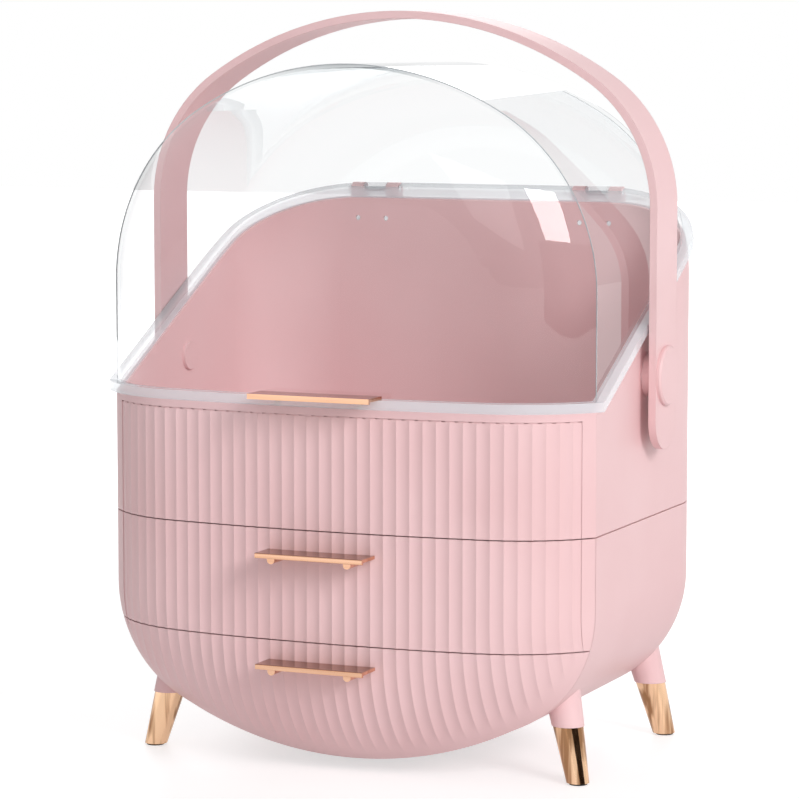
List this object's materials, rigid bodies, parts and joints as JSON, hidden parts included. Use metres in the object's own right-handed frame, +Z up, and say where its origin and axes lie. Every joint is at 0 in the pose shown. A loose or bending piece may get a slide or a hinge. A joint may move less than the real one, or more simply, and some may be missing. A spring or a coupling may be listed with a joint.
{
  "type": "makeup storage case",
  "caption": "Domed makeup case with a reeded bowed front, two drawers, a clear hinged lid, a swinging carry handle and splayed legs.",
  "frame": {"origin": "on the floor under the middle of the case", "axes": "+Z up, +X to the viewer's right, the reeded front faces -Y"},
  "size_m": [0.3072, 0.2514, 0.4088],
  "materials": {
    "pink_plastic": "satin",
    "clear_plastic": "clear polished",
    "gold_plate": "polished",
    "rose_gold": "polished copper tone",
    "white_plastic": "moulded",
    "steel": "plain",
    "rubber": "matt"
  },
  "bodies": {
    "case": {"upper_tub": "pink_plastic", "lower_cabinet": "pink_plastic", "drawer_divider": "pink_plastic", "floor_rails": "white_plastic", "drawer_stops_upper": "white_plastic", "drawer_stops_lower": "white_plastic", "case_screws": "steel", "hinge_leaf_left": "pink_plastic", "hinge_leaf_right": "pink_plastic", "hinge_pins": "steel", "hinge_screws": "steel", "pivot_studs": "pink_plastic", "leg_tip_front_left": "gold_plate", "leg_tip_front_right": "gold_plate", "leg_tip_rear_left": "gold_plate", "leg_tip_rear_right": "gold_plate", "foot_pads": "rubber", "leg_screws": "steel"},
    "upper_drawer": {"drawer_tray_upper": "pink_plastic", "drawer_fascia_upper": "pink_plastic", "drawer_pull_upper": "rose_gold", "drawer_pull_screws_upper": "steel"},
    "lower_drawer": {"drawer_tray_lower": "pink_plastic", "drawer_fascia_lower": "pink_plastic", "drawer_pull_lower": "rose_gold", "drawer_pull_screws_lower": "steel"},
    "lid": {"cover": "clear_plastic", "cover_pull": "rose_gold"},
    "handle": {"handle_strap": "pink_plastic", "handle_cap_left": "pink_plastic", "handle_cap_right": "pink_plastic", "handle_bushes": "white_plastic"}
  },
  "joints": [
    {"name": "upper_drawer_slide", "type": "slide", "parent": "case", "child": "upper_drawer", "axis": [0, -1, 0], "range_m": [0, 0.12]},
    {"name": "lower_drawer_slide", "type": "slide", "parent": "case", "child": "lower_drawer", "axis": [0, -1, 0], "range_m": [0, 0.12]},
    {"name": "lid_hinge", "type": "hinge", "parent": "case", "child": "lid", "pos_m": [0, 0.12172, 0.305], "axis": [-1, 0, 0], "range_deg": [0, 32]},
    {"name": "handle_pivot", "type": "hinge", "parent": "case", "child": "handle", "pos_m": [0, 0.00802, 0.213], "axis": [-1, 0, 0], "range_deg": [0, 128.5]}
  ],
  "couplings": [
    {"joint": "handle_pivot", "follows": "lid_hinge", "ratio": 4}
  ]
}
